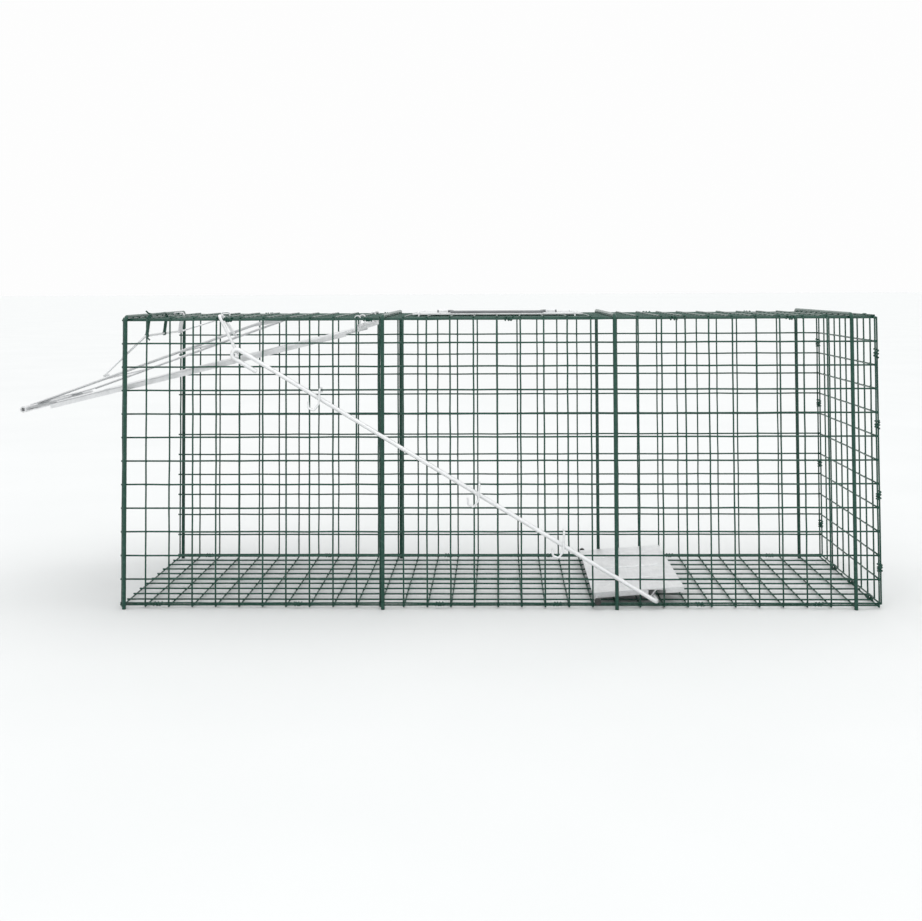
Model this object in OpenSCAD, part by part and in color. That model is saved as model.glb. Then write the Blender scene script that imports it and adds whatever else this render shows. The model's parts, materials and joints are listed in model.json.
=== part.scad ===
// Live catch cage trap, set with its door up.
// Millimetres, +Z up. X runs from the entrance to the closed rear end, Y across.
// The origin is the foot of the front hoop on the near (-Y) side.

/* [Cage] */
// cells along the cage
cells_long = 32; // [20:1:48]
// cells across the cage
cells_wide = 10; // [6:1:16]
// cells up the cage
cells_high = 12; // [6:1:18]
// pitch of the welded mesh
cell = 25.4; // [20:0.2:30]
// coated mesh wire
mesh_wire = 1.8; // [1.2:0.1:3]
// coated hoop wire
hoop_wire = 4.1; // [3:0.1:6]
// height of the bottom mesh wire above the ground
foot = 5.6; // [5:0.1:12]
// bend radius of the hoops
hoop_bend = 5; // [4:0.5:6]

/* [Door] */
// hinge axis to free end pin
door_length = 377.7; // [300:0.1:420]
// slope of the set door below level, degrees
door_slope = 13.46; // [8:0.01:20]
// half the width of the door
door_half = 118; // [100:0.5:120]
// sheet thickness
sheet = 1; // [0.6:0.1:1.6]
// length of the lock frame
frame_length = 277; // [200:1:300]
// slope of the set lock frame above level, degrees
frame_slope = 19.5; // [15:0.1:30]
// half the width of the lock frame
frame_half = 110; // [90:0.5:115]
// length of the lock spring arm
spring_arm = 63.5; // [40:0.5:80]

/* [Trigger] */
// trigger rod diameter
rod_wire = 4.5; // [3:0.1:5]
// catch lever wire diameter
catch_wire = 3.2; // [2.5:0.1:4]
// treadle plate length
treadle_length = 99; // [80:1:120]
// half the width of the treadle
treadle_half = 114; // [90:1:118]
// slope of the set treadle, degrees
treadle_slope = 4; // [3:0.1:6]

/* [Handle] */
// guard plate length
guard_length = 194.3; // [150:0.1:240]
// half the width of the guard plate
guard_half = 54; // [40:1:70]
// handle wire diameter
bail_wire = 3; // [2.5:0.1:6]
// how far the grip stands off its pivots
bail_reach = 48; // [35:1:60]

/* [Hidden] */
$fn = 32;
L = cells_long * cell;
W = cells_wide * cell;
H = cells_high * cell;
half = W / 2;
roof = foot + H;
lay = 0.85 * mesh_wire;
gap = 1.055 * mesh_wire;
rise = mesh_wire / 2;
ceiling = roof + rise + lay;
post_y = half + 4.8;
hoop_top = roof + 3.9;
hoop_x = [3.2, 11 * cell + 3.2, 21 * cell, 31 * cell];
// cross wires of the top left out for the bars of the rear hoops
left_out = [21, 31];
hinge = [10 * cell, 0, roof - 9.4];
pin = hinge - door_length * [cos(door_slope), 0, sin(door_slope)];
bar = [22.9, 0, roof - 17];
axle = [105.3, 0, roof + 4.5];
link = [125.8, 0, roof - 36.9];
rod_y = -half - 9.5;
rod_foot = [575.6, 0, foot + 3.5];
tread_axle = [513, 0, foot + 3.2];
deck = roof + 3.4;
guard_x = 309.9;
saddle_x = [13.5 * cell, 18.5 * cell];
saddle_y = 12;
saddle_z = deck + sheet + 1.7;

// ---- helpers ----

module place() translate([-hoop_x[0], post_y, 0]) children();
module green() color([0.17, 0.30, 0.26]) children();
module zinc() color([0.78, 0.79, 0.80]) children();

function unit(v) = v / norm(v);
function turn(a, b, c) = acos(max(-1, min(1, unit(b - a) * unit(c - b))));
function trim(a, b, c, bend) = bend * tan(turn(a, b, c) / 2);

// round bar from a to b
module straight(a, b, d) {
  u = unit(b - a);
  translate(a) rotate([0, acos(u[2]), atan2(u[1], u[0])]) cylinder(d = d, h = norm(b - a));
}

// bend at b between a and c
module corner(a, b, c, d, bend) {
  u = unit(b - a);
  w = unit(c - b);
  n = unit(w - (w * u) * u);
  o = b - u * trim(a, b, c, bend) + bend * n;
  q = cross(-n, u);
  multmatrix([
    [-n[0], u[0], q[0], o[0]],
    [-n[1], u[1], q[1], o[1]],
    [-n[2], u[2], q[2], o[2]]
  ]) rotate_extrude(angle = turn(a, b, c)) translate([bend, 0]) circle(d = d);
}

// wire bent at each inner point of p; a skew wire has a small ball at each end of its bends
module bent_wire(p, d, bend, skew = true) {
  last = len(p) - 1;
  for (i = [0:last - 1]) {
    u = unit(p[i + 1] - p[i]);
    t0 = i == 0 ? 0 : trim(p[i - 1], p[i], p[i + 1], bend);
    t1 = i == last - 1 ? 0 : trim(p[i], p[i + 1], p[i + 2], bend);
    straight(p[i] + u * t0, p[i + 1] - u * t1, d);
    if (skew && i > 0) translate(p[i] + u * t0) sphere(d = d * 1.02);
    if (i < last - 1) {
      corner(p[i], p[i + 1], p[i + 2], d, bend);
      if (skew) translate(p[i + 1] - u * t1) sphere(d = d * 1.02);
    }
  }
}

// link with an eye at each end, in a plane of constant y
module link(y, low, high, bore, wall, wide) translate([0, y, 0]) rotate([90, 0, 0])
  linear_extrude(wide, center = true) difference() {
    run = norm(high - low);
    union() {
      translate(low) circle(r = bore + wall);
      translate(high) circle(r = bore + wall);
      translate(low) rotate(atan2(high[1] - low[1], high[0] - low[0]))
        translate([0, -1.6]) square([run, 3.2]);
    }
    translate(low) circle(r = bore);
    translate(high) circle(r = 1);
  }

// sheet strap hung over one wire and under another
module strap(x, y, z_low, z_high, inner, thick, wide) translate([x, y, 0]) rotate([90, 0, 0])
  linear_extrude(wide, center = true) difference() {
    union() {
      translate([0, z_low]) circle(r = inner + thick);
      translate([-inner - thick, z_low]) square([2 * (inner + thick), z_high - z_low]);
      translate([0, z_high]) circle(r = inner + thick);
    }
    translate([0, z_low]) circle(r = inner);
    translate([-inner, z_low]) square([2 * inner, z_high - z_low]);
    translate([0, z_high]) circle(r = inner);
  }

module mesh_x(x, y, z, len) translate([x, y, z]) rotate([0, 90, 0]) rotate([0, 0, 22.5])
  cylinder(d = mesh_wire, h = len, $fn = 8);
module mesh_y(x, y, z, len) translate([x, y, z]) rotate([-90, 0, 0]) rotate([0, 0, 22.5])
  cylinder(d = mesh_wire, h = len, $fn = 8);
module mesh_z(x, y, z, len) translate([x, y, z]) rotate([0, 0, 22.5])
  cylinder(d = mesh_wire, h = len, $fn = 8);

// short sleeve of a ring clip
module sleeve(p, turnv, inner, outer, len) translate(p) rotate(turnv)
  difference() {
    cylinder(r = outer, h = len, center = true);
    cylinder(r = inner, h = len + 1, center = true);
  }

// ---- cage ----

module side_panel(s) {
  for (k = [0:cells_high]) mesh_x(-2, s * half, foot + k * cell, L + 2);
  for (i = [0:cells_long]) mesh_z(i * cell, s * (half + lay), foot - 0.85, H + 0.95);
}

module near_side_panel() place() green() side_panel(-1);

module far_side_panel() place() green() side_panel(1);

module top_panel() place() green() {
  for (k = [1:cells_wide - 1]) mesh_x(-2, -half + k * cell, roof + rise, L + 2);
  for (s = [-1, 1]) mesh_x(-2, s * (half - 2.1), roof + rise, L + 2);
  for (i = [0:cells_long]) if (len(search(i, left_out)) == 0)
    mesh_y(i * cell, -half - 0.4, ceiling, W + 0.8);
}

module floor_panel() place() green() {
  for (k = [0:cells_wide]) mesh_x(-2, -half + k * cell, foot - gap, L + 2);
  for (i = [0:cells_long]) mesh_y(i * cell, -half - 1, foot - gap - lay, W + 2);
}

module rear_panel() place() green() {
  for (k = [0:cells_high]) mesh_y(L + 1, -half - 0.2, foot + k * cell, W + 0.4);
  for (k = [0:cells_wide]) mesh_z(L + 1 + lay, -half + k * cell, foot - 0.85, H + 1.7);
}

module hoop(i) place() green() bent_wire([
  [hoop_x[i], -post_y, 0], [hoop_x[i], -post_y, hoop_top],
  [hoop_x[i], post_y, hoop_top], [hoop_x[i], post_y, 0]
], hoop_wire, hoop_bend, false);

module front_hoop() hoop(0);

module second_hoop() hoop(1);

module third_hoop() hoop(2);

module rear_hoop() hoop(3);

clip_cells = [1, 7, 13, 18, 24, 29];

module bottom_edge_clips() place() green()
  for (s = [-1, 1]) for (i = clip_cells)
    sleeve([(i + 0.5) * cell, s * half, foot - gap / 2], [0, 90, 0], 1.9, 2.8, 11);

module top_edge_clips() place() green()
  for (s = [-1, 1]) for (i = [4, 10, 16, 23, 28])
    sleeve([(i + 0.5) * cell, s * (half - 1.05), roof + rise / 2], [0, 90, 0], 2.35, 3.15, 11);

module rear_corner_clips() place() green()
  for (s = [-1, 1]) for (k = [1, 4, 7, 10])
    sleeve([L + 1.27, s * (half + 0.76), foot + (k + 0.5) * cell], [0, 0, 0], 2.45, 3.2, 11);

module rear_edge_clips() place() green()
  for (k = [1, 4, 7]) {
    sleeve([L + 0.5, -half + (k + 0.5) * cell, (roof + ceiling) / 2], [90, 0, 0], 2.3, 3.05, 11);
    sleeve([L + 0.5, -half + (k + 0.5) * cell, foot - 1.7], [90, 0, 0], 2.75, 3.5, 11);
  }

// ---- entrance ----

hanger_y = [-4.5 * cell, -2.5 * cell, 2.5 * cell, 4.5 * cell];

module door_hinge_rod() place() zinc()
  straight([hinge[0], -124, hinge[2]], [hinge[0], 124, hinge[2]], 4);

module door_hinge_hangers() place() zinc()
  for (y = hanger_y) strap(hinge[0], y, hinge[2], ceiling - 1.15, 2.1, 1.2, 5);

// door lies along +X of its own frame, upper face towards -Z
module door_frame() translate(hinge) rotate([0, 180 - door_slope, 0]) children();

module tube(x, y0, y1, outer) translate([x, y0, 0]) rotate([-90, 0, 0])
  cylinder(d = outer, h = y1 - y0);

end_tubes = [[-118, -78], [-38, 38], [78, 118]];
hinge_tubes = [[-110, -67.5], [-59.5, 59.5], [67.5, 110]];

module door() place() zinc() door_frame() difference() {
  union() {
    translate([0, -door_half, 2]) cube([door_length, 2 * door_half, sheet]);
    for (s = [-1, 1]) translate([14, s * (door_half - sheet / 2) - sheet / 2, 2])
      cube([door_length - 44, sheet, 4.2]);
    for (y = [-88, -44, 0, 44, 88]) translate([24, y, 2]) rotate([0, 90, 0])
      cylinder(d = 4, h = door_length - 52);
    for (t = hinge_tubes) tube(0, t[0], t[1], 6.6);
    for (t = end_tubes) tube(door_length, t[0], t[1], 7);
  }
  translate([0, -door_half - 1, 0]) rotate([-90, 0, 0]) cylinder(d = 4.2, h = 2 * door_half + 2);
  translate([door_length, -door_half - 1, 0]) rotate([-90, 0, 0])
    cylinder(d = 4.2, h = 2 * door_half + 2);
  for (y = [-2.5 * cell, 2.5 * cell]) translate([-10, y - 4, -10]) cube([17, 8, 20]);
  for (s = [-1, 1]) translate([-10, s * 120 - 10, -10]) cube([17, 20, 20]);
  for (s = [-1, 1]) translate([door_length - 6, s * 58 - 20, -6]) cube([20, 40, 20]);
  for (y = [-88, -44, 0, 44, 88]) translate([20, y - 5, 2 + sheet]) cube([door_length, 10, 4]);
}

module door_end_pin() place() zinc()
  straight([pin[0], -112, pin[2]], [pin[0], 112, pin[2]], 4);

// lock frame lies along +X of its own frame, upper face towards +Z
module lock_frame_at() translate(pin) rotate([0, -frame_slope, 0]) children();

module lock_frame() place() zinc() lock_frame_at() difference() {
  union() {
    translate([0, -frame_half, 2]) cube([frame_length, 2 * frame_half, sheet]);
    for (s = [-1, 1]) translate([14, s * (frame_half - 12), 1.2 + sheet])
      rotate([0, 90, 0]) cylinder(d = 3, h = frame_length - 22);
    for (s = [-1, 1]) tube(0, s * 58 - 19.5, s * 58 + 19.5, 7);
  }
  translate([0, -frame_half - 1, 0]) rotate([-90, 0, 0])
    cylinder(d = 4.2, h = 2 * frame_half + 2);
  for (w = [[12, 68], [86, 88], [184, 74]]) translate([w[0], -frame_half + 16, -5])
    cube([w[1], 2 * frame_half - 32, 20]);
  translate([-10, -38.5, -10]) cube([16, 77, 20]);
  for (s = [-1, 1]) translate([-10, s * 100 - 22.5, -10]) cube([16, 45, 20]);
}

spring_wire = 2.5;
// how far the spring bar stands off the plane of the lock frame
bar_off = (bar - pin) * [-sin(frame_slope), 0, cos(frame_slope)];
bar_along = (bar - pin) * [cos(frame_slope), 0, sin(frame_slope)];
tip_off = 2 + sheet + spring_wire / 2 + 0.4;
tip_along = bar_along - sqrt(pow(spring_arm, 2) - pow(bar_off - tip_off, 2));
tip = pin + tip_along * [cos(frame_slope), 0, sin(frame_slope)]
  + tip_off * [-sin(frame_slope), 0, cos(frame_slope)];

module lock_spring() place() zinc() bent_wire([
  [tip[0], -104, tip[2]], [tip[0], -123, tip[2]], [bar[0], -123, bar[2]], [bar[0], 36, bar[2]]
], spring_wire, 3);

module lock_spring_hangers() place() green()
  for (y = [-118.5, -44]) link(y, [bar[0], bar[2]], [cell, ceiling], 1.35, 1, 2.2);

module lock_spring_strap() place() zinc()
  link(30.5, [bar[0], bar[2]], [cell, ceiling], 1.35, 1, 7);

module lock_spring_tail() place() zinc() bent_wire([
  [bar[0], 36.6, bar[2]], [bar[0], 44, bar[2]], [2.8 * cell, 44, roof - 2],
  [2.8 * cell, 44, roof + 5.4], [3 * cell + 4, 44, roof + 5.4], [3 * cell + 4, 44, roof + 1]
], 2, 2);

// ---- trigger ----

catch_y = -half - 4.7;
inner_y = -4.5 * cell;
toe = [118.9, 0, roof - 16.8];

module catch_lever() place() zinc() bent_wire([
  [link[0], rod_y - 3.2, link[2]], [link[0], catch_y, link[2]], [axle[0], catch_y, axle[2]],
  [axle[0], inner_y, axle[2]], [toe[0], inner_y, toe[2]], [toe[0], -frame_half - 0.5, toe[2]]
], catch_wire, 2.4);

// hook, long run and foot of the trigger rod
hook = 5.2;
run = unit(rod_foot - link);
run_slope = atan2(-run[2], run[0]) + asin(hook / norm(rod_foot - link));
along = [cos(run_slope), 0, -sin(run_slope)];
over = [sin(run_slope), 0, cos(run_slope)];

module trigger_rod() place() zinc() {
  o = link + [0, rod_y, 0];
  bent_wire([
    o - hook * over + 27.7 * along, o - hook * over - hook * along,
    o + hook * over - hook * along, rod_foot + [0, rod_y, 0],
    rod_foot + [0, rod_y + 46, 0]
  ], rod_wire, hook - 0.1);
}

// hook of bent wire from the side mesh, down outside the trigger rod and back under it
module guide(x) {
  z = rod_foot[2] + (rod_foot[0] - x) * tan(run_slope);
  top = foot + cell * ceil((z + 6 - foot) / cell) + 2.3;
  y = rod_y - 4.5;
  bent_wire([
    [x, -half + 2.3, top - 5], [x, -half + 2.3, top], [x, y, top], [x - 1, y, z - 5],
    [x - 6, y, z - 12], [x - 12, y, z - 9.5], [x - 12.6, y, z - 2]
  ], 2.2, 2.2);
}

module rod_guides() place() zinc() for (x = [8.5 * cell, 387, 477]) guide(x);

// treadle lies along +X of its own frame, turned up by its slope at the axle
module treadle_at() translate(tread_axle) rotate([0, -treadle_slope, 0]) children();

module treadle() place() zinc() difference() {
  union() {
    treadle_at() {
      translate([-4, -treadle_half, 4]) cube([treadle_length, 2 * treadle_half, sheet]);
      for (s = [-1, 1]) translate([-4, s * (treadle_half - sheet / 2) - sheet / 2, -0.6])
        cube([treadle_length, sheet, 5.1]);
      for (s = [-1, 1]) translate([0, s * (treadle_half - sheet / 2) - sheet / 2, 0])
        rotate([-90, 0, 0]) cylinder(r = 3.5, h = sheet);
      for (y = [-60, 0, 60]) translate([14, y, 4.6]) rotate([0, 90, 0])
        cylinder(d = 4, h = treadle_length - 32);
      translate([treadle_length - 5, -treadle_half, 1.5]) cube([sheet, 2 * treadle_half, 3]);
    }
    translate([573.54, -112, 10.77]) rotate([0, -51, 0]) translate([-2, 0, 0])
      cube([10.6, 8, 1.2]);
  }
  translate(tread_axle) rotate([90, 0, 0]) cylinder(d = 3.1, h = 300, center = true);
  translate([569, -treadle_half - 1, 0]) cube([19, 2.5, foot + 11.4]);
  treadle_at() for (y = [-60, 0, 60]) translate([10, y - 4, 0]) cube([treadle_length, 8, 4]);
}

module treadle_axle() place() zinc()
  straight(tread_axle - [0, half + 6.7, 0], tread_axle + [0, half + 6.7, 0], 3);

module treadle_axle_caps() place() color([0.2, 0.2, 0.2]) for (s = [-1, 1])
  translate(tread_axle + [0, s * (half + 5.7), 0]) rotate([90, 0, 0]) difference() {
    cylinder(d = 7, h = 5, center = true);
    translate([0, 0, s * 1.3]) cylinder(d = 3.06, h = 5, center = true);
  }

// ---- carrying handle ----

clip_at = [12.5 * cell, 19.5 * cell];

module guard_plate() place() zinc() difference() {
  union() {
    translate([guard_x, -guard_half, deck]) cube([guard_length, 2 * guard_half, sheet]);
    for (s = [-1, 1]) translate([guard_x, s * (guard_half - 3) - 3, deck])
      cube([guard_length, 6, 1.5 * sheet]);
  }
  for (x = clip_at) for (s = [-1, 1]) translate([x, s * 46, deck - 1]) cylinder(d = 3.2, h = 5);
  for (x = saddle_x) for (s = [-1, 1]) translate([x, saddle_y + s * 6.8, deck - 1])
    cylinder(d = 2.6, h = 5);
}

module guard_plate_clips() place() zinc() for (x = clip_at) for (s = [-1, 1]) bent_wire([
  [x, s * 51, roof - 1], [x, s * 46, roof - 1], [x, s * 46, deck + 3.1],
  [x, s * 56, deck + 3.1], [x, s * 56, roof - 1], [x, s * 51.5, roof - 1]
], 1.6, 1.6, false);

module handle_saddles() place() zinc() for (x = saddle_x)
  translate([x, saddle_y, deck + sheet]) difference() {
    rotate([90, 0, 90]) linear_extrude(11, center = true) difference() {
      union() {
        translate([-9.5, 0]) square([19, 1]);
        translate([-2.6, 0]) square([5.2, 1.7]);
        translate([0, 1.7]) circle(r = 2.6);
      }
      translate([0, 1.7]) circle(r = bail_wire / 2 + 0.08);
      translate([-4, -2]) square([8, 2]);
    }
    for (s = [-1, 1]) translate([0, s * 6.8, -1]) cylinder(d = 2.6, h = 4);
  }

module saddle_rivets() place() zinc() for (x = saddle_x) for (s = [-1, 1])
  translate([x, saddle_y + s * 6.8, deck]) {
    translate([0, 0, -0.9]) cylinder(d = 4, h = 0.9);
    translate([0, 0, -0.5]) cylinder(d = 2.5, h = 3.1);
    translate([0, 0, sheet + 1]) cylinder(d = 4.6, h = 1);
  }

module handle() place() zinc() bent_wire([
  [saddle_x[0] - 7.5, saddle_y, saddle_z], [saddle_x[0] + 11, saddle_y, saddle_z],
  [saddle_x[0] + 11, saddle_y - bail_reach, saddle_z],
  [saddle_x[1] - 11, saddle_y - bail_reach, saddle_z],
  [saddle_x[1] - 11, saddle_y, saddle_z], [saddle_x[1] + 7.5, saddle_y, saddle_z]
], bail_wire, 4, false);

near_side_panel();
far_side_panel();
top_panel();
floor_panel();
rear_panel();
front_hoop();
second_hoop();
third_hoop();
rear_hoop();
bottom_edge_clips();
top_edge_clips();
rear_corner_clips();
rear_edge_clips();
door_hinge_rod();
door_hinge_hangers();
door();
door_end_pin();
lock_frame();
lock_spring();
lock_spring_hangers();
lock_spring_strap();
lock_spring_tail();
catch_lever();
trigger_rod();
rod_guides();
treadle();
treadle_axle();
treadle_axle_caps();
guard_plate();
guard_plate_clips();
handle_saddles();
saddle_rivets();
handle();
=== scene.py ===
import json
import math
import random

import bpy
from mathutils import Matrix, Vector


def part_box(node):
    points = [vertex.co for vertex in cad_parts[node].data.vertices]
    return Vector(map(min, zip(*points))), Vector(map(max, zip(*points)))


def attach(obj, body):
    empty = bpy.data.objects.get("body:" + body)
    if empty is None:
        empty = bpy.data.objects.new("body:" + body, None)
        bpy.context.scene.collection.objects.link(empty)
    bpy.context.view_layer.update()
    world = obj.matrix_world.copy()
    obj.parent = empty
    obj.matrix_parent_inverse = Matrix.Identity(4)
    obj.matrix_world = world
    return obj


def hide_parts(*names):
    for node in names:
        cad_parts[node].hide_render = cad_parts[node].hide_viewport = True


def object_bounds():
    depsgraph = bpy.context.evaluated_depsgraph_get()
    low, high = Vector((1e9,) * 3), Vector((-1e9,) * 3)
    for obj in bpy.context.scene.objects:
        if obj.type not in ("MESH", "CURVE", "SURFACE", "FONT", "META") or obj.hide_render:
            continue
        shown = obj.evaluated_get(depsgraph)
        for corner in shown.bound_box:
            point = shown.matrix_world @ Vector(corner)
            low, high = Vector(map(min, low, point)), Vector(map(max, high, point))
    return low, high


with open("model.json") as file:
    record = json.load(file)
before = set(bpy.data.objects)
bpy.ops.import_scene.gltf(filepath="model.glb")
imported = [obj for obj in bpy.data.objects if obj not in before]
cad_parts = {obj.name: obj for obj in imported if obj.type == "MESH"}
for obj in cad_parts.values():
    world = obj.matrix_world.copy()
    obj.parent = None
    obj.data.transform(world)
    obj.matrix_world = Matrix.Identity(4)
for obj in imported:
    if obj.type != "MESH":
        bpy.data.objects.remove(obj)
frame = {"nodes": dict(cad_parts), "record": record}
cad_low, cad_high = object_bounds()

MM = 0.001
CELL = 25.4 * MM
rng = random.Random(7)
scene = bpy.context.scene


# ---- camera ----

LENS_MM = 50.82
SENSOR_MM = 36
SHIFT = (-0.0095, -0.2444)
FAR_CLIP = 200
PAN, TILT, ROLL = 0.0222, 0.0396, -0.0045


def place_camera():
    """A camera that looks at the near side, a little right of its middle and above it."""
    side_low, side_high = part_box("near_side_panel")
    data = bpy.data.cameras.new("camera")
    data.sensor_width = SENSOR_MM
    data.lens = LENS_MM
    data.shift_x, data.shift_y = SHIFT
    data.clip_end = FAR_CLIP
    cam = bpy.data.objects.new("camera", data)
    scene.collection.objects.link(cam)
    spot = Vector((
        (side_low.x + side_high.x) / 2 + 3.2 * MM,
        side_high.y - 1414.2 * MM,
        side_low.z + 340.7 * MM,
    ))
    turn = (
        Matrix.Rotation(PAN, 4, "Z")
        @ Matrix.Rotation(math.pi / 2 + TILT, 4, "X")
        @ Matrix.Rotation(ROLL, 4, "Z")
    )
    cam.matrix_world = Matrix.Translation(spot) @ turn
    scene.camera = cam


place_camera()


# ---- node helpers ----

# The sockets of a Mix node that hold colours.
MIX_FACTOR, MIX_A, MIX_B, MIX_RESULT = 0, 6, 7, 2


class Graph:
    """One Principled material, built up from textures in object coordinates."""

    def __init__(self, name):
        self.material = bpy.data.materials.new(name)
        self.material.use_nodes = True
        self.tree = self.material.node_tree
        self.tree.nodes.clear()
        self.out = self.tree.nodes.new("ShaderNodeOutputMaterial")
        self.bsdf = self.tree.nodes.new("ShaderNodeBsdfPrincipled")
        self.link(self.bsdf.outputs["BSDF"], self.out.inputs["Surface"])
        self.coord = self.tree.nodes.new("ShaderNodeTexCoord").outputs["Object"]

    def link(self, a, b):
        self.tree.links.new(a, b)

    def scaled(self, x, y, z):
        """Object coordinates, stretched along each axis."""
        node = self.tree.nodes.new("ShaderNodeMapping")
        node.inputs["Scale"].default_value = (x, y, z)
        self.link(self.coord, node.inputs["Vector"])
        return node.outputs["Vector"]

    def noise(self, scale, detail=4, rough=0.55, vector=None):
        node = self.tree.nodes.new("ShaderNodeTexNoise")
        node.inputs["Scale"].default_value = scale
        node.inputs["Detail"].default_value = detail
        node.inputs["Roughness"].default_value = rough
        self.link(vector or self.coord, node.inputs["Vector"])
        return node.outputs["Fac"]

    def cells(self, scale):
        node = self.tree.nodes.new("ShaderNodeTexVoronoi")
        node.inputs["Scale"].default_value = scale
        self.link(self.coord, node.inputs["Vector"])
        return node

    def ramp(self, fac, *stops):
        """Colours between (place, colour) stops."""
        node = self.tree.nodes.new("ShaderNodeValToRGB")
        elements = node.color_ramp.elements
        for element, (at, colour) in zip(elements, stops, strict=True):
            element.position = at
            element.color = (*colour, 1)
        self.link(fac, node.inputs["Fac"])
        return node.outputs["Color"]

    def span(self, fac, low, high):
        """A value that runs from low to high as fac runs from 0 to 1."""
        node = self.tree.nodes.new("ShaderNodeMapRange")
        node.inputs["To Min"].default_value = low
        node.inputs["To Max"].default_value = high
        self.link(fac, node.inputs["Value"])
        return node.outputs["Result"]

    def mix(self, fac, a, b):
        """Colour b over colour a, where fac is a number or an output."""
        node = self.tree.nodes.new("ShaderNodeMix")
        node.data_type = "RGBA"
        if isinstance(fac, float):
            node.inputs[MIX_FACTOR].default_value = fac
        else:
            self.link(fac, node.inputs[MIX_FACTOR])
        self.link(a, node.inputs[MIX_A])
        self.link(b, node.inputs[MIX_B])
        return node.outputs[MIX_RESULT]

    def bump(self, height, strength, distance, normal=None):
        node = self.tree.nodes.new("ShaderNodeBump")
        node.inputs["Strength"].default_value = strength
        node.inputs["Distance"].default_value = distance
        self.link(height, node.inputs["Height"])
        if normal:
            self.link(normal, node.inputs["Normal"])
        return node.outputs["Normal"]

    def set(self, name, value):
        """Link an output to a socket of the shader, or set a constant on it."""
        socket = self.bsdf.inputs[name]
        if hasattr(value, "is_output"):
            self.link(value, socket)
        else:
            socket.default_value = value


# ---- materials ----

BLACK, WHITE = (0, 0, 0), (1, 1, 1)
DEEP_GREEN, MID_GREEN = (0.009, 0.050, 0.034), (0.015, 0.070, 0.050)
SHADE_GREEN, LIT_GREEN = (0.008, 0.044, 0.030), (0.026, 0.090, 0.066)
CHALK_GREEN, PALE_GREEN = (0.07, 0.15, 0.12), (0.12, 0.21, 0.18)
CAP_DARK, CAP_LIGHT = (0.010, 0.011, 0.011), (0.028, 0.029, 0.028)
FLOOR_DARK, FLOOR_LIGHT = (0.680, 0.694, 0.694), (0.700, 0.712, 0.712)


def green_coating():
    """Dark green plastic coating, cloudy, with pale specks where it is chalky."""
    g = Graph("green_coating")
    broad = g.noise(9, detail=3)
    fine = g.noise(240, detail=5, rough=0.6)
    specks = g.noise(900, detail=2)
    base = g.ramp(broad, (0.3, DEEP_GREEN), (0.7, MID_GREEN))
    light = g.ramp(fine, (0.35, SHADE_GREEN), (0.75, LIT_GREEN))
    colour = g.mix(0.45, base, light)
    chalk = g.ramp(specks, (0.66, BLACK), (0.82, WHITE))
    pale = g.ramp(fine, (0.0, CHALK_GREEN), (1.0, PALE_GREEN))
    g.set("Base Color", g.mix(chalk, colour, pale))
    g.set("Roughness", g.span(fine, 0.16, 0.36))
    g.set("Specular IOR Level", 0.3)
    waves = g.bump(broad, strength=0.3, distance=2 * MM)
    g.set("Normal", g.bump(fine, strength=0.35, distance=0.4 * MM, normal=waves))
    return g.material


def galvanised(name, spangle, bright, dark, stretch, metal):
    """Zinc with spangles, clouds and fine streaks between a bright and a dark grey."""
    g = Graph(name)
    grain = g.scaled(*stretch)
    cells = g.cells(spangle)
    fine = g.noise(420, detail=5, rough=0.6, vector=grain)
    broad = g.noise(14, detail=3)
    tone = g.ramp(cells.outputs["Color"], (0.0, dark), (1.0, bright))
    cloud = g.ramp(broad, (0.3, dark), (0.7, bright))
    streak = g.ramp(fine, (0.3, dark), (0.7, bright))
    g.set("Base Color", g.mix(0.35, g.mix(0.5, tone, cloud), streak))
    g.set("Metallic", metal)
    g.set("Roughness", g.span(fine, 0.32, 0.5))
    edges = g.bump(cells.outputs["Distance"], strength=0.10, distance=0.6 * MM)
    g.set("Normal", g.bump(fine, strength=0.18, distance=0.3 * MM, normal=edges))
    return g.material


def black_cap():
    """Black plastic of the axle caps."""
    g = Graph("black_cap")
    fine = g.noise(700)
    g.set("Base Color", g.ramp(fine, (0.3, CAP_DARK), (0.7, CAP_LIGHT)))
    g.set("Roughness", g.span(fine, 0.4, 0.62))
    g.set("Normal", g.bump(fine, strength=0.2, distance=0.3 * MM))
    return g.material


def floor_paint():
    """Plain pale floor, faintly clouded."""
    g = Graph("floor")
    cloud = g.noise(3, detail=2)
    g.set("Base Color", g.ramp(cloud, (0.3, FLOOR_DARK), (0.7, FLOOR_LIGHT)))
    g.set("Roughness", 0.9)
    return g.material


SHEET_SPANGLE, WIRE_SPANGLE = 130, 600
ALONG_SHEET, ALONG_WIRE = (1, 0.12, 1), (0.15, 1, 1)
MATERIALS = {
    "green_coating": green_coating(),
    "galvanised_sheet": galvanised(
        "galvanised_sheet", SHEET_SPANGLE,
        bright=(0.80, 0.81, 0.815), dark=(0.56, 0.57, 0.58), stretch=ALONG_SHEET, metal=0.5),
    "galvanised_wire": galvanised(
        "galvanised_wire", WIRE_SPANGLE,
        bright=(0.88, 0.89, 0.895), dark=(0.70, 0.71, 0.72), stretch=ALONG_WIRE, metal=0.7),
    # The handle's zinc gets dark greys as painted shade and painted reflection: they stand in
    # for the shaded underside and dark reflections of light zinc.
    "handle_wire": galvanised(
        "handle_wire", WIRE_SPANGLE,
        bright=(0.26, 0.27, 0.28), dark=(0.12, 0.125, 0.13), stretch=ALONG_WIRE, metal=0.75),
    "black_cap": black_cap(),
}
SLOT = {s["node"]: s["material_slot"] for s in frame["record"]["subparts"]}
for name, obj in frame["nodes"].items():
    obj.data.materials.clear()
    obj.data.materials.append(MATERIALS[SLOT[name]])


# ---- shapes ----

def new_mesh(name, verts, faces, slot, body, nodes=()):
    mesh = bpy.data.meshes.new(name)
    mesh.from_pydata(verts, [], faces)
    mesh.polygons.foreach_set("use_smooth", [True] * len(mesh.polygons))
    mesh.materials.append(MATERIALS[slot])
    obj = bpy.data.objects.new(name, mesh)
    scene.collection.objects.link(obj)
    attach(obj, body)
    if nodes:
        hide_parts(*nodes)
    return obj


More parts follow.
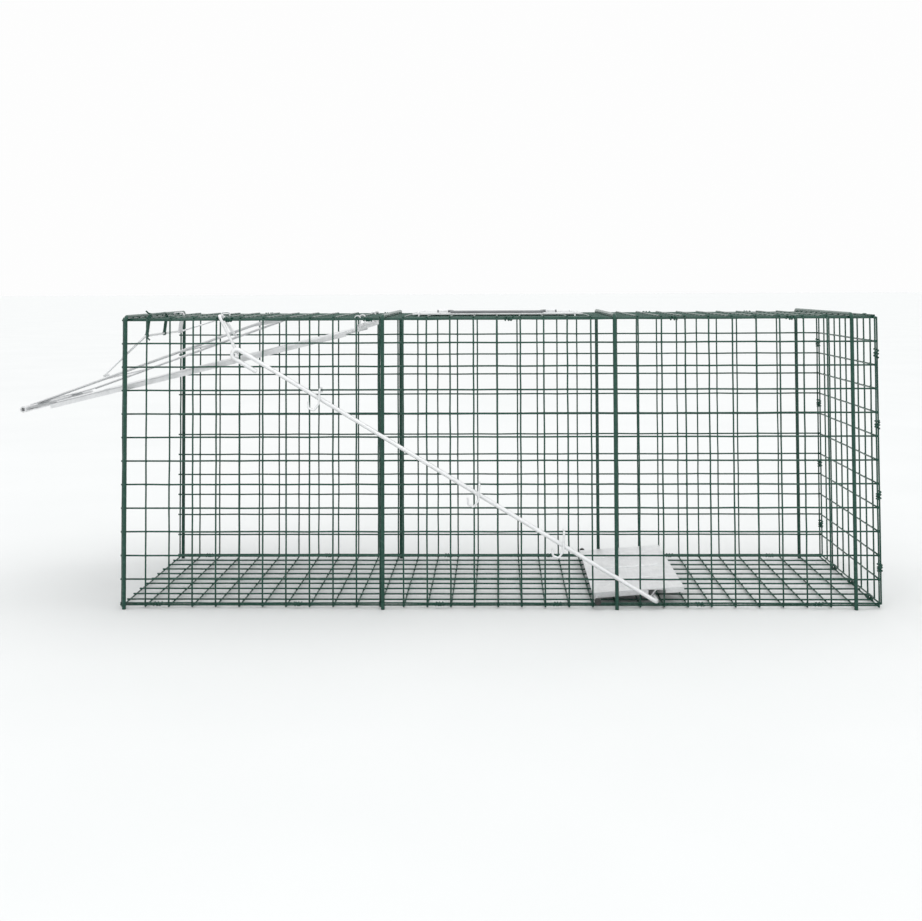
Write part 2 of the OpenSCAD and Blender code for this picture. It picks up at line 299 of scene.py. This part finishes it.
class Shape:
    """Vertices and faces of many pieces, gathered into one mesh."""

    def __init__(self):
        self.verts = []
        self.faces = []

    def tube(self, path, radius, sides=10):
        """Round wire along a path, closed at both ends."""
        path = [Vector(p) for p in path]
        start = len(self.verts)
        ahead = (path[1] - path[0]).normalized()
        side = ahead.orthogonal().normalized()
        last = len(path) - 1
        for k, p in enumerate(path):
            way = (path[min(k + 1, last)] - path[max(k - 1, 0)]).normalized()
            side = (side - way * side.dot(way)).normalized()
            other = way.cross(side)
            for j in range(sides):
                t = 2 * math.pi * j / sides
                self.verts.append(
                    p + side * (radius * math.cos(t)) + other * (radius * math.sin(t)))
        for k in range(last):
            for j in range(sides):
                i0 = start + k * sides + j
                i1 = start + k * sides + (j + 1) % sides
                self.faces.append((i0, i1, i1 + sides, i0 + sides))
        self.faces.append(tuple(reversed(range(start, start + sides))))
        end = start + last * sides
        self.faces.append(tuple(range(end, end + sides)))

    def blob(self, centre, size, rings=5, sides=8):
        """Closed ellipsoid of the given half sizes, its poles along z."""
        start = len(self.verts)
        for k in range(1, rings):
            t = math.pi * k / rings
            for j in range(sides):
                u = 2 * math.pi * j / sides
                self.verts.append(centre + Vector((
                    size[0] * math.sin(t) * math.cos(u),
                    size[1] * math.sin(t) * math.sin(u),
                    size[2] * math.cos(t))))
        top, bottom = len(self.verts), len(self.verts) + 1
        self.verts.append(centre + Vector((0, 0, size[2])))
        self.verts.append(centre - Vector((0, 0, size[2])))
        for k in range(rings - 2):
            for j in range(sides):
                a = start + k * sides + j
                b = start + k * sides + (j + 1) % sides
                self.faces.append((a, a + sides, b + sides, b))
        lowest = start + (rings - 2) * sides
        for j in range(sides):
            n = (j + 1) % sides
            self.faces.append((top, start + j, start + n))
            self.faces.append((bottom, lowest + n, lowest + j))

    def ribbon(self, path, width, thick):
        """Flat strip bent in a plane of constant y."""
        path = [Vector(p) for p in path]
        start = len(self.verts)
        last = len(path) - 1
        half = Vector((0, width / 2, 0))
        for k, p in enumerate(path):
            way = (path[min(k + 1, last)] - path[max(k - 1, 0)]).normalized()
            up = Vector((-way.z, 0, way.x)) * thick / 2
            self.verts += [p - half - up, p + half - up, p + half + up, p - half + up]
        for k in range(last):
            a = start + 4 * k
            for j in range(4):
                n = (j + 1) % 4
                self.faces.append((a + j, a + 4 + j, a + 4 + n, a + n))
        self.faces.append((start, start + 1, start + 2, start + 3))
        self.faces.append(tuple(start + 4 * last + j for j in (3, 2, 1, 0)))

    def build(self, name, slot, body, nodes=()):
        return new_mesh(name, self.verts, self.faces, slot, body, nodes)


# ---- welded mesh ----

X, Y, Z = 0, 1, 2
# Radius of the coated mesh wire, and of the coil clips' thicker wire.
MESH_WIRE = 0.9 * MM
CLIP_WIRE = 0.95 * MM
# Vertices of a wire lie no further than this from its axis.
REACH = 1.1 * MESH_WIRE
# The first wire that crosses X stands this far inside the panel's front end.
FIRST_UPRIGHT = 2 * MM
# The top's two outermost lengthwise wires stand this much further in than the lattice.
TOP_INSET = 2.1 * MM
# How far a wire strays sideways, and in and out, between its ends, in millimetres.
SIDE_BEND, DEEP_BEND = 0.22, 0.08
# Half the width of the bead of coating at a weld, in millimetres, and half its thickness.
BEAD_WIDTH = (1.35, 1.6)
BEAD_DEPTH = 1.05 * MM


def lines_of(low, high, axis, inset):
    """Where a panel's wires cross one axis, whether or not each is there."""
    count = int((high[axis] - low[axis]) / CELL) + 1
    lead = FIRST_UPRIGHT if axis == X else (high[axis] - low[axis] - (count - 1) * CELL) / 2
    found = [low[axis] + lead + CELL * k for k in range(count)]
    found[0] += inset
    found[-1] -= inset
    return found


def bent_line(low, high, axis, other, line, normal, layer):
    """Points one cell apart along a wire that wanders a little between its ends."""
    count = max(2, round((high[axis] - low[axis]) / CELL) + 1)
    path = []
    for k in range(count):
        p = Vector((0, 0, 0))
        p[axis] = low[axis] + (high[axis] - low[axis]) * k / (count - 1)
        ends = k in (0, count - 1)
        p[other] = line + (0 if ends else rng.uniform(-SIDE_BEND, SIDE_BEND) * MM)
        p[normal] = layer + (0 if ends else rng.uniform(-DEEP_BEND, DEEP_BEND) * MM)
        path.append(p)
    return path


def mesh_panel(node, along, across, outside, inset=0):
    """Round coated wires in two layers with a bead of coating at each weld.

    The wires that run across are the outer layer, and outside is the outer side's sign.
    Only the wires that the CAD panel has are drawn, so gaps in its lattice stay.
    """
    low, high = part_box(node)
    normal = X + Y + Z - along - across
    shape = Shape()
    inner = low[normal] + MESH_WIRE if outside > 0 else high[normal] - MESH_WIRE
    outer = high[normal] - MESH_WIRE if outside > 0 else low[normal] + MESH_WIRE
    obj = frame["nodes"][node]
    points = [obj.matrix_world @ v.co for v in obj.data.vertices]
    lines = {along: lines_of(low, high, along, 0), across: lines_of(low, high, across, inset)}
    for axis, other, layer in ((along, across, inner), (across, along, outer)):
        near = [p[other] for p in points if abs(p[normal] - layer) < REACH]
        lines[other] = [x for x in lines[other] if any(abs(p - x) < REACH for p in near)]
        for line in lines[other]:
            shape.tube(bent_line(low, high, axis, other, line, normal, layer), MESH_WIRE)
    middle = (inner + outer) / 2
    for u in lines[along]:
        for v in lines[across]:
            p = Vector((0, 0, 0))
            p[along], p[across], p[normal] = u, v, middle
            size = [0, 0, 0]
            size[along] = size[across] = rng.uniform(*BEAD_WIDTH) * MM
            size[normal] = BEAD_DEPTH
            shape.blob(p, size)
    shape.build(node + "_wires", "green_coating", "cage", [node])


mesh_panel("near_side_panel", X, Z, -1)
mesh_panel("far_side_panel", X, Z, 1)
mesh_panel("top_panel", X, Y, 1, TOP_INSET)
mesh_panel("floor_panel", X, Y, -1)
mesh_panel("rear_panel", Y, Z, 1)


# ---- wire clips ----

# Vertices that round to the same step of this grid, in steps per metre, are one.
GRID = 20000
# Turns of a clip's coil, its depth against its width, and the points drawn in a turn.
CLIP_TURNS = (2.6, 3.6)
CLIP_SQUASH = (0.84, 0.92)
CLIP_STEPS = 14


def islands(node):
    """Boxes round the separate pieces of one CAD node."""
    obj = frame["nodes"][node]
    keys = {}
    where = []
    for v in obj.data.vertices:
        p = obj.matrix_world @ v.co
        key = tuple(round(c * GRID) for c in p)
        keys.setdefault(key, len(keys))
        where.append((keys[key], p))
    parent = list(range(len(keys)))

    def root(i):
        while parent[i] != i:
            parent[i] = parent[parent[i]]
            i = parent[i]
        return i

    for e in obj.data.edges:
        a, b = (root(where[v][0]) for v in e.vertices)
        parent[a] = b
    boxes = {}
    for k, p in where:
        low, high = boxes.setdefault(root(k), (p.copy(), p.copy()))
        for axis in (X, Y, Z):
            low[axis] = min(low[axis], p[axis])
            high[axis] = max(high[axis], p[axis])
    return sorted(boxes.values(), key=lambda b: tuple(b[0]))


def coil_clips(node, axis):
    """Uneven turns of coated wire round each pair of edge wires."""
    shape = Shape()
    for low, high in islands(node):
        centre = (low + high) / 2
        u, v = [k for k in (X, Y, Z) if k != axis]
        reach = (high[u] - low[u]) / 2 - CLIP_WIRE
        long = high[axis] - low[axis] - 2 * CLIP_WIRE
        turns = rng.uniform(*CLIP_TURNS)
        start = rng.uniform(0, 2 * math.pi)
        squash = rng.uniform(*CLIP_SQUASH)
        steps = int(turns * CLIP_STEPS)
        path = []
        for k in range(steps + 1):
            t = k / steps
            a = start + 2 * math.pi * turns * t
            r = reach * (1 + 0.06 * math.sin(3.1 * a + start))
            p = centre.copy()
            p[axis] += long * (t - 0.5) + 0.5 * MM * math.sin(a * 0.7)
            p[u] += r * math.cos(a)
            p[v] += r * squash * math.sin(a)
            path.append(p)
        shape.tube(path, CLIP_WIRE, 8)
    shape.build(node + "_coils", "green_coating", "cage", [node])


coil_clips("bottom_edge_clips", X)
coil_clips("top_edge_clips", X)
coil_clips("rear_corner_clips", Z)
coil_clips("rear_edge_clips", Y)


# ---- lock spring fixings ----

# The places that the added wires start from lie this far inside the near hanger's box.
HANGER_INSET = 2.35 * MM
# Steps of the curve between two points of a bent wire.
CURVE_STEPS = 6


def smooth_path(points):
    """A curve through all the points (Catmull-Rom)."""
    path = [Vector(p) for p in points]
    last = len(path) - 1
    curve = [path[0]]
    for k in range(last):
        a, b, c, d = path[max(k - 1, 0)], path[k], path[k + 1], path[min(k + 2, last)]
        for j in range(1, CURVE_STEPS + 1):
            t = j / CURVE_STEPS
            curve.append(0.5 * (
                2 * b + (c - a) * t + (2 * a - 5 * b + 4 * c - d) * t * t
                + (3 * b - a - 3 * c + d) * t ** 3))
    return curve


def from_point(origin, steps):
    """Points given in millimetres from an origin in metres."""
    return [Vector(origin) + Vector(step) * MM for step in steps]


def spring_hanger_wire():
    """Green wires over the top from hanger to hanger, one curled up and one at the foot."""
    near, far = islands("lock_spring_hangers")
    near_low, near_high = near
    near_y = (near_low.y + near_high.y) / 2
    far_y = (far[0].y + far[1].y) / 2
    apart = (far_y - near_y) / MM
    cross = (near_high.x - HANGER_INSET, near_y, near_high.z)
    foot = (near_low.x + HANGER_INSET, near_y, near_low.z)
    wire = Shape()
    bridge = [
        (-1.4, 0, -2), (0, 1, 0.6), (0.8, 14, 1.2), (2.2, apart / 2, 1.8),
        (1.4, apart - 12, 2.2), (0, apart - 1, 0.8), (-1.4, apart, -2),
    ]
    curl = [(1.8, 3, -1.2), (0.6, 5, 1.6), (-1.6, 3, 2.8), (-3.8, 1, 5.2)]
    tail = [(-0.6, 0, 0.8), (1.2, 0, -0.6), (3.2, 0.6, -2.6)]
    wire.tube(smooth_path(from_point(cross, bridge)), 1.0 * MM)
    wire.tube(smooth_path(from_point(cross, curl)), 0.9 * MM)
    wire.tube(smooth_path(from_point(foot, tail)), 0.8 * MM)
    wire.build("spring_hanger_wire", "green_coating", "cage")


def spring_strap_fold():
    """The end of the lock spring's strap, folded over the top mesh."""
    low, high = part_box("lock_spring_strap")
    end = (high.x, (low.y + high.y) / 2, high.z)
    fold = [
        (-1, 0, -1.2), (-1.6, 0, 0.1), (-3.6, 0, 0.9),
        (-7, 0, 0.9), (-10.5, 0, 0.4), (-12.5, 0, -0.5),
    ]
    strap = Shape()
    strap.ribbon(from_point(end, fold), width=high.y - low.y, thick=1 * MM)
    strap.build("spring_strap_fold", "galvanised_sheet", "cage")


spring_hanger_wire()
spring_strap_fold()


# ---- stage and light ----

# Half the floor's width, in metres, and how far it lies below the cage.
FLOOR_REACH = 60
FLOOR_GAP = 0.2 * MM
# The surroundings get brighter from this height of a direction, where straight up is 1.
BRIGHTER_FROM = 0.35
HORIZON_LIGHT, OVERHEAD_LIGHT = 0.985, 1.7


def stage():
    """A floor so wide that its edge meets the equally white surroundings."""
    mesh = bpy.data.meshes.new("floor")
    r = FLOOR_REACH
    mesh.from_pydata([(-r, -r, 0), (r, -r, 0), (r, r, 0), (-r, r, 0)], [], [(0, 1, 2, 3)])
    mesh.materials.append(floor_paint())
    floor = bpy.data.objects.new("floor", mesh)
    scene.collection.objects.link(floor)
    floor.location = (cad_low.x, 0, cad_low.z - FLOOR_GAP)


def area(name, away, width, power):
    """A square soft light that stands away from the cage's centre and faces it."""
    centre = (cad_low + cad_high) / 2
    spot = centre + Vector(away)
    data = bpy.data.lights.new(name, "AREA")
    data.shape = "RECTANGLE"
    data.size = data.size_y = width
    data.energy = power
    lamp = bpy.data.objects.new(name, data)
    scene.collection.objects.link(lamp)
    lamp.location = spot
    lamp.rotation_mode = "QUATERNION"
    lamp.rotation_quaternion = (centre - spot).to_track_quat("-Z", "Y")


def studio():
    """Even white surroundings, brighter overhead."""
    world = bpy.data.worlds.new("world")
    scene.world = world
    world.use_nodes = True
    tree = world.node_tree
    back = tree.nodes["Background"]
    back.inputs["Color"].default_value = (1, 1, 1, 1)
    split = tree.nodes.new("ShaderNodeSeparateXYZ")
    rise = tree.nodes.new("ShaderNodeMapRange")
    rise.inputs["From Min"].default_value = BRIGHTER_FROM
    rise.inputs["To Min"].default_value = HORIZON_LIGHT
    rise.inputs["To Max"].default_value = OVERHEAD_LIGHT
    coord = tree.nodes.new("ShaderNodeTexCoord")
    tree.links.new(coord.outputs["Generated"], split.inputs["Vector"])
    tree.links.new(split.outputs["Z"], rise.inputs["Value"])
    tree.links.new(rise.outputs["Result"], back.inputs["Strength"])


stage()
area("key", away=(-1.0, -2.2, 2.2), width=2.2, power=6)
area("fill", away=(2.0, -1.8, 1.4), width=2.0, power=2.5)
studio()
scene.view_settings.view_transform = "Standard"
